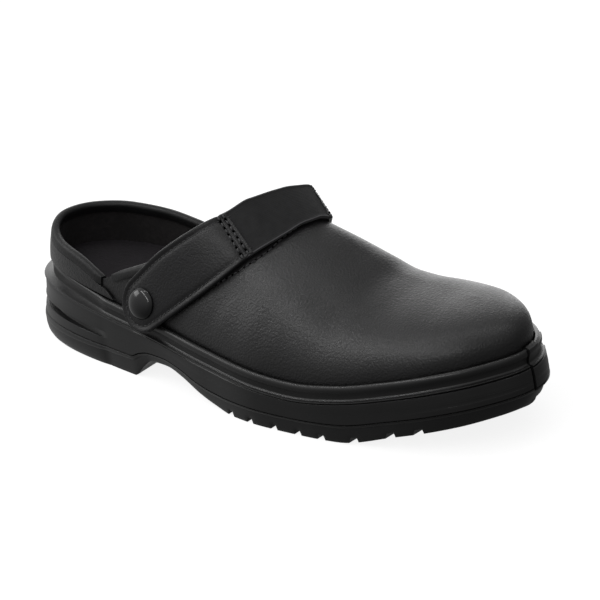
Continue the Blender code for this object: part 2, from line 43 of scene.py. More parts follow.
# Millimetres: x from the back of the heel to the toe, y from the outer side of the foot to the
# inner side, z up from the floor. Pieces are moved to the frame's own origin as they are made.
mm = 0.001
lateral, medial = -1, 1
hair, touch, weld = 0.3, 0.01, 0.002  # a clearance, a tolerance and how near doubles lie

shoe = dict(
    length=295.0,
    centre=(147.15, -2.99275, 0.0),
    beadReach=4.5,
    beadHeight=8.8,
    ledgeDepth=7.0,
    wall=1.8,
    notchAt={lateral: 58.5, medial: 76.0},
    throatAt=149.0,
    throatRound=0.46,
    ribSteps=200,
)

# half widths of the rim: at, lateral, medial
rimTable = np.array((
    (0, 0.0, 0.0), (10, 21.0, 22.0), (30, 31.8, 33.5), (60, 39.2, 38.2), (100, 45.5, 37.5),
    (135, 52.6, 38.5), (170, 57.6, 44.0), (200, 56.0, 50.5), (230, 51.2, 51.5),
    (255, 43.3, 45.5), (275, 31.3, 33.6), (287, 18.5, 21.3), (295, 0.0, 0.0),
))
# heights: at, groove under the bead, step above the tread, underside
levelTable = np.array((
    (0, 31.3, 9.5, 2.2), (10, 31.0, 8.6, 0.5), (20, 30.6, 8.2, 0.0), (80, 26.8, 9.0, 0.0),
    (86, 26.3, 12.5, 6.0), (93, 25.6, 15.0, 11.4), (105, 24.5, 15.8, 12.2),
    (115, 23.6, 14.3, 10.0), (128, 22.6, 10.3, 5.2), (140, 21.7, 8.2, 2.0), (152, 20.9, 7.6, 0.0),
    (190, 18.9, 7.8, 0.0), (215, 21.5, 8.6, 0.3), (245, 27.7, 14.6, 7.0), (270, 33.0, 20.0, 12.3),
    (295, 37.4, 25.0, 17.6),
))
# ridge of the last: at, across, height
ridgeTable = np.array((
    (40, 0.0, 90.0), (90, 3.0, 90.0), (115, 5.5, 89.0), (130, 7.0, 87.5), (144, 8.5, 86.0),
    (153, 9.5, 83.8), (165, 10.0, 80.0), (176, 10.5, 76.3), (195, 12.0, 68.0), (210, 13.0, 62.5),
    (225, 13.0, 60.9), (240, 10.6, 60.9), (257, 10.1, 61.8),
))
# how full each side of the last is: at, lateral, medial
fullTable = np.array((
    (0, 1.9, 1.9), (60, 2.0, 2.0), (95, 1.9, 2.0), (125, 1.7, 2.0), (150, 1.7, 2.0),
    (170, 1.85, 1.97), (195, 2.05, 1.95), (220, 2.2, 1.98), (255, 2.4, 2.53),
    (295, 3.15, 3.15),
))
# height of the collar: share of the way to the notch, lateral, medial
collarTable = np.array(((0, 58.4, 58.4), (0.3, 53.9, 57.5), (0.65, 51.8, 55.6), (1, 46.0, 52.0)))
# where the ribs meet the ridge: behind the first and past the last value they fan out
spine = dict(fromAt=70.0, back=25.0, toAt=205.0, front=55.4)


def smoothRow(xs, ys, at):
    at = np.clip(at, xs[0], xs[-1])
    widths = np.diff(xs)
    slopes = np.diff(ys) / widths
    bends = np.zeros(len(xs))
    bends[0], bends[-1] = slopes[0], slopes[-1]
    for i in range(1, len(xs) - 1):
        before, after = slopes[i - 1], slopes[i]
        if before * after > 0:
            early = 2 * widths[i] + widths[i - 1]
            late = widths[i] + 2 * widths[i - 1]
            bends[i] = (early + late) / (early / before + late / after)
    cell = np.clip(np.searchsorted(xs, at) - 1, 0, len(widths) - 1)
    width = widths[cell]
    t = (at - xs[cell]) / width
    rise = t * t * (3 - 2 * t)
    bend = bends[cell] * t * (1 - t) ** 2 + bends[cell + 1] * t * t * (t - 1)
    return ys[cell] * (1 - rise) + ys[cell + 1] * rise + width * bend


def fromTable(rows, column, at):
    return smoothRow(rows[:, 0], rows[:, column], at)


def turnAt(at):
    return np.arccos(np.clip(1 - 2 * np.asarray(at, float) / shoe["length"], -1, 1))


def turnOf(at):
    return float(turnAt(at))


def atTurn(turn):
    return shoe["length"] / 2 * (1 - math.cos(turn))


def sideOf(value):
    return lateral if value < 0 else medial


def columnOf(side):  # in the tables with a lateral and a medial column
    return 1 if side == lateral else 2


def unit(vector):
    return vector / np.linalg.norm(vector)


def lengthsAlong(points):
    return np.concatenate(([0], np.cumsum(np.linalg.norm(np.diff(points, axis=0), axis=1))))


def sideAndTurn(around):
    around = (around + math.pi) % (2 * math.pi) - math.pi
    return sideOf(around), abs(around)


def placeAlong(around):
    return atTurn(sideAndTurn(around)[1])


def featherHeight(at):
    return fromTable(levelTable, 1, at) + shoe["beadHeight"]


def ledgeHeight(at):
    return featherHeight(at) - shoe["ledgeDepth"]


@functools.lru_cache(maxsize=None)
def rimPlace(around):  # a point of the rim and the direction straight in from it
    side, turn = sideAndTurn(around)
    widths = rimTable[:, columnOf(side)]
    step = 0.002
    low, high = max(turn - step, 0.0), min(turn + step, math.pi)
    here, behind, ahead = (smoothRow(turnAt(rimTable[:, 0]), widths, t) for t in (turn, low, high))
    run = 0.0 if turn in (0.0, math.pi) else atTurn(high) - atTurn(low)
    inward = side * np.array((side * (ahead - behind), -run))
    return np.array((atTurn(turn), side * here)), unit(inward)


def rimPoint(around, inset):
    point, inward = rimPlace(around)
    return point + inward * inset


def spineAt(at):
    if at < spine["fromAt"]:
        return spine["fromAt"] - spine["back"] * math.tanh((spine["fromAt"] - at) / spine["back"])
    if at > spine["toAt"]:
        return spine["toAt"] + spine["front"] * math.tanh((at - spine["toAt"]) / spine["front"])
    return at


@functools.lru_cache(maxsize=None)
def ribOf(around):  # one rib of the last, from the feather line to the ridge
    side, turn = sideAndTurn(around)
    at = atTurn(turn)
    foot = rimPoint(around, shoe["beadReach"])
    ridge = spineAt(at)
    top = np.array((ridge, fromTable(ridgeTable, 1, ridge)))
    low, high = featherHeight(at), fromTable(ridgeTable, 2, ridge)
    power = 2 / fromTable(fullTable, columnOf(side), at)
    angle = np.linspace(0, math.pi / 2, shoe["ribSteps"])
    reach = np.abs(np.cos(angle)) ** power
    reach[-1] = 0.0
    points = np.column_stack((top + np.outer(reach, foot - top), low + (high - low) * np.sin(angle) ** power))
    return points, lengthsAlong(points)


def ribLength(around):
    return float(ribOf(around)[1][-1])


def barePoints(around, rises):
    points, lengths = ribOf(around)
    found = np.column_stack([np.interp(rises, lengths, column) for column in points.T])
    found[:, 2] += np.minimum(rises, 0.0)
    return found


def outwards(around, rises):
    step, climb, top = 0.0033, 0.5, 0.2
    rises = np.minimum(rises, ribLength(around) - top)
    beside = barePoints(around + step, rises) - barePoints(around - step, rises)
    above = barePoints(around, rises + climb) - barePoints(around, rises - climb)
    out = np.cross(above, beside)
    return out / np.linalg.norm(out, axis=1)[:, None]


def onLast(around, rises, offset):
    rises = np.atleast_1d(np.asarray(rises, float))
    return barePoints(around, rises) + outwards(around, rises) * np.reshape(offset, (-1, 1))


def riseTo(around, height):
    points, lengths = ribOf(around)
    return float(np.interp(height, points[:, 2], lengths))


@functools.lru_cache(maxsize=None)
def notchDrop(side):
    around = side * turnOf(shoe["notchAt"][side])
    return ribLength(around) - riseTo(around, collarTable[-1, columnOf(side)])


def openingRise(around):
    side, turn = sideAndTurn(around)
    at, notch = atTurn(turn), shoe["notchAt"][side]
    if at <= notch:
        return riseTo(around, fromTable(collarTable, columnOf(side), at / notch))
    forward = min((at - notch) / (shoe["throatAt"] - notch), 1.0)
    return ribLength(around) - notchDrop(side) * (1 - forward) ** shoe["throatRound"]


def onChart(at, fromRidge, offset):
    side = sideOf(fromRidge)
    around = side * turnOf(at)
    return onLast(around, ribLength(around) - abs(fromRidge), offset)[0]


def endSpaced(start, stop, count):
    return [atTurn(turn) for turn in np.linspace(turnAt(start), turnAt(stop), count)]


def aroundLoop(medialStations, lateralStations):
    out = [turnOf(at) for at in medialStations]
    return out + [-turnOf(at) for at in lateralStations[-2:0:-1]]


# mesh helpers


def strips(first, second, closed):
    count = len(first) if closed else len(first) - 1
    faces = []
    for i in range(count):
        j = (i + 1) % len(first)
        corners = tuple(dict.fromkeys((int(first[i]), int(first[j]), int(second[j]), int(second[i]))))
        if len(corners) > 2:
            faces.append(corners)
    return faces


def addToScene(name, data, matrix=None):
    item = bpy.data.objects.new(name, data)
    if matrix is not None:
        item.matrix_world = matrix
    bpy.context.scene.collection.objects.link(item)
    return item


def makePiece(name, points, faces, materials, sharp=40, faceSlots=None, marks=None):
    mesh = bpy.data.meshes.new(name)
    placed = (np.asarray(points, float) - shoe["centre"]) * mm
    mesh.from_pydata(placed.tolist(), [], faces)
    for material in materials:
        mesh.materials.append(material)
    if faceSlots is not None:
        mesh.polygons.foreach_set("material_index", faceSlots)
    if marks is not None:
        mesh.attributes.new("weave", "FLOAT_VECTOR", "POINT").data.foreach_set("vector", np.ravel(marks))
    work = bmesh.new()
    work.from_mesh(mesh)
    bmesh.ops.remove_doubles(work, verts=work.verts, dist=weld * mm)
    bmesh.ops.recalc_face_normals(work, faces=work.faces)
    work.to_mesh(mesh)
    work.free()
    mesh.shade_smooth()
    mesh.set_sharp_from_angle(angle=math.radians(sharp))
    piece = addToScene(name, mesh)
    print(name, "made:", len(mesh.polygons), "faces")
    return piece


def softenEdges(piece, width, angle=50):
    bevel = piece.modifiers.new("edges", "BEVEL")
    bevel.width = width * mm
    bevel.segments = 3
    bevel.limit_method = "ANGLE"
    bevel.angle_limit = math.radians(angle)
    bevel.harden_normals = False


def layered(outer, inner):
    outer, inner = np.asarray(outer), np.asarray(inner)
    rows, columns = outer.shape[:2]
    points = np.concatenate((outer.reshape(-1, 3), inner.reshape(-1, 3)))
    number = np.arange(len(points)).reshape(2, rows, columns)
    faces = []
    for layer in number:
        for low, high in zip(layer, layer[1:]):
            faces += strips(low, high, False)
    border = [(0, c) for c in range(columns)] + [(r, columns - 1) for r in range(1, rows)]
    border += [(rows - 1, c) for c in range(columns - 2, -1, -1)]
    border += [(r, 0) for r in range(rows - 2, 0, -1)]
    edge = [[layer[r][c] for r, c in border] for layer in number]
    return points, faces + strips(edge[0], edge[1], True)


def swept(sections):
    points = np.concatenate([np.asarray(section) for section in sections])
    loops = np.arange(len(points)).reshape(len(sections), -1)
    faces = [tuple(int(i) for i in loops[0]), tuple(int(i) for i in loops[-1])]
    for near, far in zip(loops, loops[1:]):
        faces += strips(near, far, True)
    return points, faces


# finishes


class Finish:
    def __init__(self, name, colour, roughness, **sockets):
        self.material = bpy.data.materials.new(name)
        self.material.use_nodes = True
        self.tree = self.material.node_tree
        self.shader = self.tree.nodes["Principled BSDF"]
        self.shader.inputs["Base Color"].default_value = (*colour, 1)
        self.shader.inputs["Roughness"].default_value = roughness
        for key, value in sockets.items():
            self.shader.inputs[key.replace("_", " ")].default_value = value
        self.place = self.node("ShaderNodeTexCoord").outputs["Object"]

    def node(self, kind, **values):
        made = self.tree.nodes.new(kind)
        for key, value in values.items():
            if key in made.inputs:
                made.inputs[key].default_value = value
            else:
                setattr(made, key, value)
        return made

    def link(self, source, target):
        self.tree.links.new(source, target)

    def noise(self, scale, detail=3.0, roughness=0.55, place=None):
        made = self.node("ShaderNodeTexNoise", Scale=scale, Detail=detail, Roughness=roughness)
        self.link(place or self.place, made.inputs["Vector"])
        return made.outputs["Fac"]

    def cells(self, scale, feature="F1", place=None):
        made = self.node("ShaderNodeTexVoronoi", feature=feature, Scale=scale)
        self.link(place or self.place, made.inputs["Vector"])
        return made.outputs["Distance"]

    def ramp(self, source, low, high, toLow=0.0, toHigh=1.0):
        made = self.node("ShaderNodeMapRange")
        for key, value in (("From Min", low), ("From Max", high), ("To Min", toLow), ("To Max", toHigh)):
            made.inputs[key].default_value = value
        self.link(source, made.inputs["Value"])
        return made.outputs["Result"]

    def maths(self, operation, first, second):
        made = self.node("ShaderNodeMath", operation=operation)
        for socket, value in zip(made.inputs, (first, second)):
            if isinstance(value, (int, float)):
                socket.default_value = value
            else:
                self.link(value, socket)
        return made.outputs["Value"]

    def tint(self, share, dark, light):
        made = self.node("ShaderNodeMix", data_type="RGBA")
        colours = [s for s in made.inputs if s.type == "RGBA"]
        colours[0].default_value, colours[1].default_value = (*dark, 1), (*light, 1)
        self.link(share, made.inputs["Factor"])
        self.link([s for s in made.outputs if s.type == "RGBA"][0], self.shader.inputs["Base Color"])

    def rough(self, source):
        self.link(source, self.shader.inputs["Roughness"])

    def bump(self, *layers):  # each layer: height, distance in mm, strength
        normal = None
        for height, distance, strength in layers:
            made = self.node("ShaderNodeBump", Distance=distance * mm, Strength=strength)
            self.link(height, made.inputs["Height"])
            if normal:
                self.link(normal, made.inputs["Normal"])
            normal = made.outputs["Normal"]
        self.link(normal, self.shader.inputs["Normal"])


def leatherFinish(name, colour=(0.0062, 0.006, 0.0064), roughness=0.38, grain=1.0, gloss=0.5):
    made = Finish(name, colour, roughness, Specular_IOR_Level=gloss, Coat_Weight=0.10, Coat_Roughness=0.30)
    pebble = made.cells(1050.0, "SMOOTH_F1")
    creping = made.noise(720.0, 4.0, 0.6)
    fine = made.noise(2600.0, 2.0)
    broad = made.noise(38.0, 4.0)
    made.tint(made.ramp(broad, 0.3, 0.7), tuple(c * 0.8 for c in colour), tuple(c * 1.25 for c in colour))
    rough = made.ramp(broad, 0.3, 0.7, roughness - 0.04, roughness + 0.05)
    made.rough(made.maths("ADD", rough, made.ramp(creping, 0.3, 0.7, -0.06, 0.06)))
    made.bump((pebble, 0.2, 0.8 * grain), (creping, 0.26, 0.8 * grain), (fine, 0.04, 0.3 * grain))
    return made.material


def rubberFinish(name):
    gloss = dict(Specular_IOR_Level=0.5, Coat_Weight=0.2, Coat_Roughness=0.12)
    made = Finish(name, (0.010, 0.010, 0.0102), 0.42, **gloss)
    broad = made.noise(30.0, 4.0)
    fine = made.noise(1500.0, 3.0)
    made.tint(made.ramp(broad, 0.3, 0.7), (0.0035, 0.0035, 0.0036), (0.0055, 0.0055, 0.0057))
    made.rough(made.ramp(broad, 0.3, 0.7, 0.36, 0.44))
    made.bump((fine, 0.05, 0.3))
    return made.material


def textileFinish(name, dark, light, nap):
    made = Finish(name, light, 0.95, Specular_IOR_Level=0.15, Sheen_Weight=0.12, Sheen_Roughness=0.5)
    fluff = made.noise(nap, 5.0, 0.65)
    patches = made.ramp(made.noise(60.0), 0.2, 0.8)
    made.tint(made.maths("MULTIPLY", made.ramp(fluff, 0.3, 0.7), patches), dark, light)
    made.bump((fluff, 0.25, 0.6), (made.noise(2.2 * nap), 0.12, 0.4))
    return made.material


def webbingFinish(name):  # follows the band's own measure in mm: along, across, in from the edge
    gloss = dict(Specular_IOR_Level=0.3, Sheen_Weight=0.05, Sheen_Roughness=0.5)
    made = Finish(name, (0.011, 0.011, 0.0115), 0.8, **gloss)
    warp, weft = 2 * math.pi / 0.85, 2 * math.pi / 1.05
    measure = made.node("ShaderNodeSeparateXYZ")
    made.link(made.node("ShaderNodeAttribute", attribute_name="weave").outputs["Vector"], measure.inputs[0])
    along = made.maths("SINE", made.maths("MULTIPLY", measure.outputs["X"], warp), 0.0)
    across = made.maths("SINE", made.maths("MULTIPLY", measure.outputs["Y"], weft), 0.0)
    weave = made.maths("MULTIPLY", along, across)
    # lighter band along both edges: partly a paler selvedge, partly a painted highlight standing in for the
    # lit edge of the band
    border = made.ramp(measure.outputs["Z"], 0.4, 0.9, 1.0, 0.0)
    mottle = made.maths("MULTIPLY", made.ramp(weave, -1.0, 1.0, 0.12, 0.3), made.noise(240.0))
    made.tint(made.maths("MAXIMUM", border, mottle), (0.006, 0.006, 0.0063), (0.065, 0.065, 0.068))
    made.bump((weave, 0.10, 0.35), (across, 0.06, 0.3), (made.noise(1400.0), 0.08, 0.4))
    return made.material


leather = leatherFinish("leather")
bindingLeather = leatherFinish("bindingLeather", (0.0045, 0.0045, 0.0048), 0.5, 0.6, 0.34)
rubber = rubberFinish("soleRubber")
strapLeather = leatherFinish("strapLeather", (0.0062, 0.006, 0.0066), 0.44, 0.9, 0.36)
lining = textileFinish("lining", (0.013, 0.0115, 0.0118), (0.028, 0.025, 0.0255), 420.0)
insoleCloth = textileFinish("insoleCloth", (0.011, 0.0094, 0.0112), (0.0215, 0.018, 0.022), 500.0)
webbing = webbingFinish("webbing")
thread = Finish("thread", (0.026, 0.026, 0.028), 0.5, Sheen_Weight=0.2)
thread.bump((thread.noise(2500.0), 0.1, 0.5))
thread = thread.material
# painted shade: near-black matte blobs set between the stitches stand in for the shadow inside the needle
# holes
shade = Finish("paintedHoleShade", (0.0006, 0.0006, 0.0006), 1.0, Specular_IOR_Level=0.0).material
lacquer = Finish("studLacquer", (0.0035, 0.0035, 0.004), 0.16, Coat_Weight=0.25, Coat_Roughness=0.05)
lacquer.rough(lacquer.ramp(lacquer.noise(240.0, 4.0), 0.3, 0.75, 0.10, 0.18))
lacquer.bump((lacquer.noise(420.0), 0.02, 0.2))
lacquer = lacquer.material


# the moulded sole

sole = dict(
    grooveEnd=60.0,
    toeFlareFrom=240.0,
    lugDepth=3.6,
    lugSideDepth=2.9,
    lugSlope=0.9,
    bumperFrom=-0.5,
    bumperTo=24.0,
    bumperOut=0.8,
    bumperSlit=0.9,
    bumperGap=0.8,
    flapTo=10.0,
    flapRise=0.9,
    bumperLift=2.0,
    tipTurns=(0.0045, 0.0075, 0.0095, 0.0205, 0.0255, 0.032),
    bumperEnds=(283.4, 283.7, 284.2, 284.5),
    channels=(0.34, 0.66),
    channelHalf=0.02,
    channelSlope=0.008,
    heelBorder=0.16,
    forefootAt=146.0,
    heelEndAt=80.0,
    treadFrom=10.0,
    treadTo=278.0,
    heelTo=70.0,
    heelStations=44,
    waistFrom=72.0,
    waistStep=2.0,
    toeFrom=205.0,
    toeStations=64,
    gapClear=0.6,
    bumperLevels=(1.06, 2.95),
    bumperMiddle=2.0,
    flapLevels=(2.3, 2.8),
    sharp=32,
)
# side of the sole from the bead down: inset, level, then what the heel and the toe add to the inset
soleSide = np.array((
    (4.2, 2.93, 0, 0), (3.75, 2.975, 0.3, 0), (3.1, 3.0, 1.0, 0), (2.5, 2.985, 1.7, 0),
    (2.0, 2.95, 2.3, 0), (1.65, 2.9, 2.7, 0), (1.42, 2.84, 3.0, 0), (1.32, 2.77, 3.2, 0),
    (1.32, 2.7, 3.4, 0), (1.45, 2.63, 3.4, 0), (1.75, 2.56, 3.2, 0), (2.0, 2.45, 3.1, 0),
    (2.15, 2.32, 3.0, 0), (2.05, 2.21, 2.6, 0), (1.6, 2.15, 1.4, 0), (1.0, 2.12, -0.2, 0),
    (0.4, 2.11, -0.5, 0), (0.1, 2.095, -0.7, 0), (0.0, 2.07, -0.7, 0),
    (0.1, 2.04, -0.7, 0), (0.5, 2.02, -0.6, 0), (1.5, 2.005, -0.5, 0), (1.5, 1.985, -0.5, 0),
    (0.8, 1.975, -0.6, -0.5), (0.5, 1.95, -0.6, -0.8), (0.42, 1.88, -0.6, -0.95),
    (0.42, 1.75, -0.7, -1.2), (0.45, 1.65, -0.9, -1.5), (0.48, 1.59, -1.25, -1.7),
    (0.5, 1.555, -1.4, -1.75), (0.5, 1.55, -1.2, -1.75), (0.5, 1.545, -0.5, -1.8), (0.5, 1.54, 1.0, -1.8),
    (0.5, 1.533, 2.4, -1.8), (0.5, 1.518, 2.7, -1.8), (0.5, 1.395, 2.7, -1.9), (0.5, 1.384, 2.5, -1.95),
    (0.5, 1.381, 1.0, -1.95), (0.5, 1.378, -0.6, -2.0), (0.5, 1.376, -1.3, -2.0), (0.5, 1.372, -1.5, -2.0),
    (0.5, 1.362, -1.6, -2.05), (0.5, 1.33, -1.75, -2.1), (0.5, 1.25, -2.05, -2.15),
    (0.5, 1.17, -2.2, -2.25), (1.2, 1.145, -2.2, -2.25),
    (0.4, 1.12, -2.5, -2.3), (0.5, 1.07, -2.8, -2.35), (0.8, 1.03, -3.2, -2.4), (1.2, 1.005, -3.5, -2.35),
    (1.65, 0.985, -3.7, -2.3), (1.7, 0.95, -3.8, -2.25), (1.8, 0.8, -4.1, -2.1), (2.0, 0.6, -4.2, -1.8),
    (2.3, 0.3, -4.0, -1.3), (2.5, 0.1, -3.2, -0.9), (2.8, 0.0, -2.6, -0.6),
))
# gaps between the lugs: start, end, 1 where it runs out through the side
lugGaps = (
    (34, 38, 0), (55, 59, 0), (148.7, 152.7, 1), (162, 166, 1), (177, 181, 1), (191, 195, 1),
    (204, 208.5, 1), (221.5, 226.5, 1), (240.5, 245.5, 1), (254, 259, 1),
)


def soleStations():
    found = endSpaced(0, sole["heelTo"], sole["heelStations"])
    found += list(np.arange(sole["waistFrom"], sole["toeFrom"], sole["waistStep"]))
    found += endSpaced(sole["toeFrom"], shoe["length"], sole["toeStations"])
    found += [atTurn(math.pi - turn) for turn in sole["tipTurns"]] + list(sole["bumperEnds"])
    for start, end, _ in lugGaps:
        found = [at for at in found if not start - sole["gapClear"] < at < end + sole["gapClear"]]
        found += [start, start + sole["lugSlope"], end - sole["lugSlope"], end]
    return sorted(set(found))


def inGap(at):
    for start, end, isOpen in lugGaps:
        if start + sole["lugSlope"] - touch <= at <= end - sole["lugSlope"] + touch:
            return 1, isOpen
    return 0, 0


def soleHeights(at):
    return [fromTable(levelTable, c, at) for c in (3, 2, 1)] + [featherHeight(at)]


def bumperStep(around, rank):  # a block at the tip of the toe stands out between two upright slits
    at, across = rimPlace(around)[0]
    lowest, highest = sole["bumperLevels"]
    if at < sole["treadTo"] or not lowest < rank < highest:
        return 0.0
    for slit in (sole["bumperFrom"] - sole["bumperGap"], sole["bumperTo"]):
        if slit < across < slit + sole["bumperGap"]:
            return sole["bumperSlit"]
    return -sole["bumperOut"] if sole["bumperFrom"] <= across <= sole["bumperTo"] else 0.0


def flapRise(around, rank):  # the block's top corner laps over the bead
    at, across = rimPlace(around)[0]
    if at < sole["treadTo"] or not 0 <= across - sole["bumperFrom"] <= sole["flapTo"]:
        return 0.0
    return sole["flapRise"] * np.interp(rank, sole["flapLevels"], (0, 1))


def soleRing(around):
    at = placeAlong(around)
    fade = math.sqrt(max(0.0, 1 - at / sole["grooveEnd"]))
    toe = max(0.0, (at - sole["toeFlareFrom"]) / (shoe["length"] - sole["toeFlareFrom"]))
    heights = soleHeights(at)
    deep, isOpen = inGap(at)
    ring = []
    for inset, rank, heel, flare in soleSide:
        height = np.interp(rank, range(4), heights) + flapRise(around, rank)
        if deep and isOpen and rank < 1:
            height = max(height, heights[0] + sole["lugSideDepth"])
        if bumperStep(around, sole["bumperMiddle"]) < 0 and rank < 1:
            height = max(height, heights[0] + sole["bumperLift"])
        inset += heel * fade + flare * toe + bumperStep(around, rank)
        ring.append((*rimPoint(around, inset), height))
    return ring


def treadColumns():
    found = [(sole["heelBorder"], 0)]
    far = sole["channelHalf"] + sole["channelSlope"]
    for middle in sole["channels"]:
        found += [(middle - far, 0), (middle - sole["channelHalf"], 1)]
        found += [(middle + sole["channelHalf"], 1), (middle + far, 0)]
    return found + [(1 - sole["heelBorder"], 0)]


def treadPoint(outer, inner, share, channel):
    place = outer + (inner - outer) * share
    at = (outer[0] + inner[0]) / 2
    deep, _ = inGap(at)
    border = share in (sole["heelBorder"], 1 - sole["heelBorder"])
    place[2] = fromTable(levelTable, 3, at)
    if sole["forefootAt"] < at < sole["treadTo"] and (deep or channel):
        place[2] += sole["lugDepth"]
    if sole["treadFrom"] < at < sole["heelEndAt"] and (deep or channel) and not border:
        place[2] += sole["lugDepth"]
    return place


def makeSole():
    stations = soleStations()
    places = aroundLoop(stations, stations)
    loops = np.array([soleRing(around) for around in places]).transpose(1, 0, 2)
    floor = loops[0].copy()
    floor[:, 2] = [ledgeHeight(placeAlong(around)) for around in places]
    loops = np.concatenate((floor[None], loops))
    points = [p for loop in loops for p in loop]
    rows = np.arange(len(points)).reshape(len(loops), -1)
    faces = []
    for high, low in zip(rows, rows[1:]):
        faces += strips(high, low, True)
    toe = len(stations) - 1
    inner = list(range(toe + 1))
    outer = [0] + list(range(len(places) - 1, toe - 1, -1))
    faces += strips(rows[0][inner], rows[0][outer], False)
    bottom = loops[-1]
    lines = [list(rows[-1][outer])]
    for share, channel in treadColumns():
        line = [rows[-1][0]]
        for m, l in zip(inner[1:-1], outer[1:-1]):
            line.append(len(points))
            points.append(treadPoint(bottom[l], bottom[m], share, channel))
        lines.append(line + [rows[-1][toe]])
    lines.append(list(rows[-1][inner]))
    for right, left in zip(lines, lines[1:]):
        faces += strips(right, left, False)
    piece = makePiece("mouldedSole", points, faces, [rubber], sole["sharp"])
    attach(piece, "root")
    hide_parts("sole")


makeSole()

# the insole

insole = dict(thick=3.0, stations=90, columns=24, cup=1.0, cupPower=4, edge=1.1)


def makeInsole():
    stations = endSpaced(0, shoe["length"], insole["stations"])
    inset = shoe["beadReach"] + shoe["wall"] + hair
    turns = [turnOf(at) for at in stations]
    layers = []
    for top in (True, False):
        grid = []
        for turn, at in zip(turns, stations):
            outer, inner = rimPoint(-turn, inset), rimPoint(turn, inset)
            line = []
            for share in np.linspace(0, 1, insole["columns"]):
                height = ledgeHeight(at) + hair
                if top:
                    height += insole["thick"] + insole["cup"] * abs(2 * share - 1) ** insole["cupPower"]
                line.append((*(outer + (inner - outer) * share), height))
            grid.append(line)
        layers.append(grid)
    piece = makePiece("cloth_insole", *layered(*layers), [insoleCloth])
    softenEdges(piece, insole["edge"])
    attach(piece, "root")
    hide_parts("insole")


makeInsole()

# the upper

upper = dict(
    heelRibs=36,
    throatRibs=44,
    vampRibs=28,
    toeRibs=48,
    rows=46,
    crowd=0.85,
    crowdMost=8.0,
    leastDrop=0.2,
    ridgeTouch=0.03,
    sharp=50,
)
# soft troughs of the worn leather on the chart: at, from the ridge, at, from the ridge, depth, width
creases = np.array((
    (206, -6, 203, -62, 0.45, 9.0),
    (160, -30, 133, -74, 0.30, 6.0),
    (178, -44, 166, -78, 0.22, 5.0),
    (206, 8, 204, 60, 0.40, 9.0),
    (165, 34, 150, 76, 0.25, 6.0),
))


def throatForward(share):
    return 1 - abs(share) ** (1 / shoe["throatRound"])


def upperStations(side):
    notch = shoe["notchAt"][side]
    found = endSpaced(0, notch, upper["heelRibs"])
    shares = np.linspace(1, 0, upper["throatRibs"])
    found += [notch + (shoe["throatAt"] - notch) * throatForward(s) for s in shares[1:]]
    found += list(np.linspace(shoe["throatAt"], spine["toAt"], upper["vampRibs"]))[1:]
    return found + endSpaced(spine["toAt"], shoe["length"], upper["toeRibs"])[1:]


def wallRises(around):
    length = ribLength(around)
    drop = length - openingRise(around)
    crowding = upper["crowd"] * length / max(drop, upper["leastDrop"])
    crowding = min(max(crowding, 1.0), upper["crowdMost"])
    shares = np.linspace(0, 1, upper["rows"])
    return np.concatenate(([hair - shoe["ledgeDepth"]], length * shares - drop * shares**crowding))


def creaseDepth(at, fromRidge):
    sunk = np.zeros(len(fromRidge))
    here = np.column_stack((np.full(len(fromRidge), at), fromRidge))
    for x0, r0, x1, r1, depth, width in creases:
        start, run = np.array((x0, r0)), np.array((x1 - x0, r1 - r0))
        share = np.clip((here - start) @ run / (run @ run), 0, 1)
        apart = np.linalg.norm(here - start - share[:, None] * run, axis=1)
        sunk += depth * np.exp(-((apart / width) ** 2))
    return sunk


def makeUpper():
    places = aroundLoop(upperStations(medial), upperStations(lateral))
    outer, inner, closed = [], [], []
    for around in places:
        side, turn = sideAndTurn(around)
        at, rises = atTurn(turn), wallRises(around)
        fromRidge = side * (ribLength(around) - rises)
        outer.append(onLast(around, rises, -creaseDepth(at, fromRidge)))
        inner.append(onLast(around, rises, -shoe["wall"]))
        closed.append(at > shoe["throatAt"] - upper["ridgeTouch"])
    outer, inner = np.array(outer), np.array(inner)
    count = len(places)
    for i in range(count):  # both sides share one line of points along the ridge
        if closed[i] and i < count - i:
            for grid in (outer, inner):
                middle = (grid[i, -1] + grid[count - i, -1]) / 2 if i else grid[i, -1]
                grid[i, -1] = grid[(count - i) % count, -1] = middle
    points = np.concatenate((outer.reshape(-1, 3), inner.reshape(-1, 3)))
    number = np.arange(len(points)).reshape(2, count, -1)
    faces, slots = [], []
    for layer, slot in zip(number, (0, 1)):
        for low, high in zip(layer.T, layer.T[1:]):
            made = strips(low, high, True)
            faces += made
            slots += [slot] * len(made)
    rim = strips(number[0, :, -1], number[1, :, -1], True)
    made = strips(number[0, :, 0], number[1, :, 0], True)
    made += [rim[i] for i in range(count) if not (closed[i] and closed[(i + 1) % count])]
    slots += [0] * len(made)
    piece = makePiece("leather_upper", points, faces + made, [leather, lining], upper["sharp"], slots)
    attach(piece, "root")
    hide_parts("upper")


makeUpper()

# the heel counter

counter = dict(thick=0.9, clear=0.4, low=0.8, rake=9.0, rows=16, columns=121, edge=0.4)
binding = dict(
    width=3.4,
    top=1.7,
    leather=0.7,
    collarClear=0.4,
    throatClear=0.8,
    collarSteps=150,
    throatSteps=140,
    throatBound=0.96,
    endSteps=4,
    endShut=0.8,
    shareStep=0.01,
    sharp=60,
)


def makeCounter():
    grids = []
    for offset in (counter["clear"] + counter["thick"], counter["clear"]):
        grid = []
        for climb in np.linspace(0, 1, counter["rows"]):
            line = []
            for share in np.linspace(-1, 1, counter["columns"]):
                side = sideOf(share)
                reach = shoe["notchAt"][side] - hair + counter["rake"] * (1 - climb)
                around = share * turnOf(reach)
                high = openingRise(around) - binding["width"] - hair
                line.append(onLast(around, counter["low"] + (high - counter["low"]) * climb, offset)[0])
            grid.append(line)
        grids.append(grid)
    piece = makePiece("heel_counter_cover", *layered(*grids), [leather])
    softenEdges(piece, counter["edge"])
    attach(piece, "root")
    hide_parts("heel_counter")


makeCounter()

# the bindings


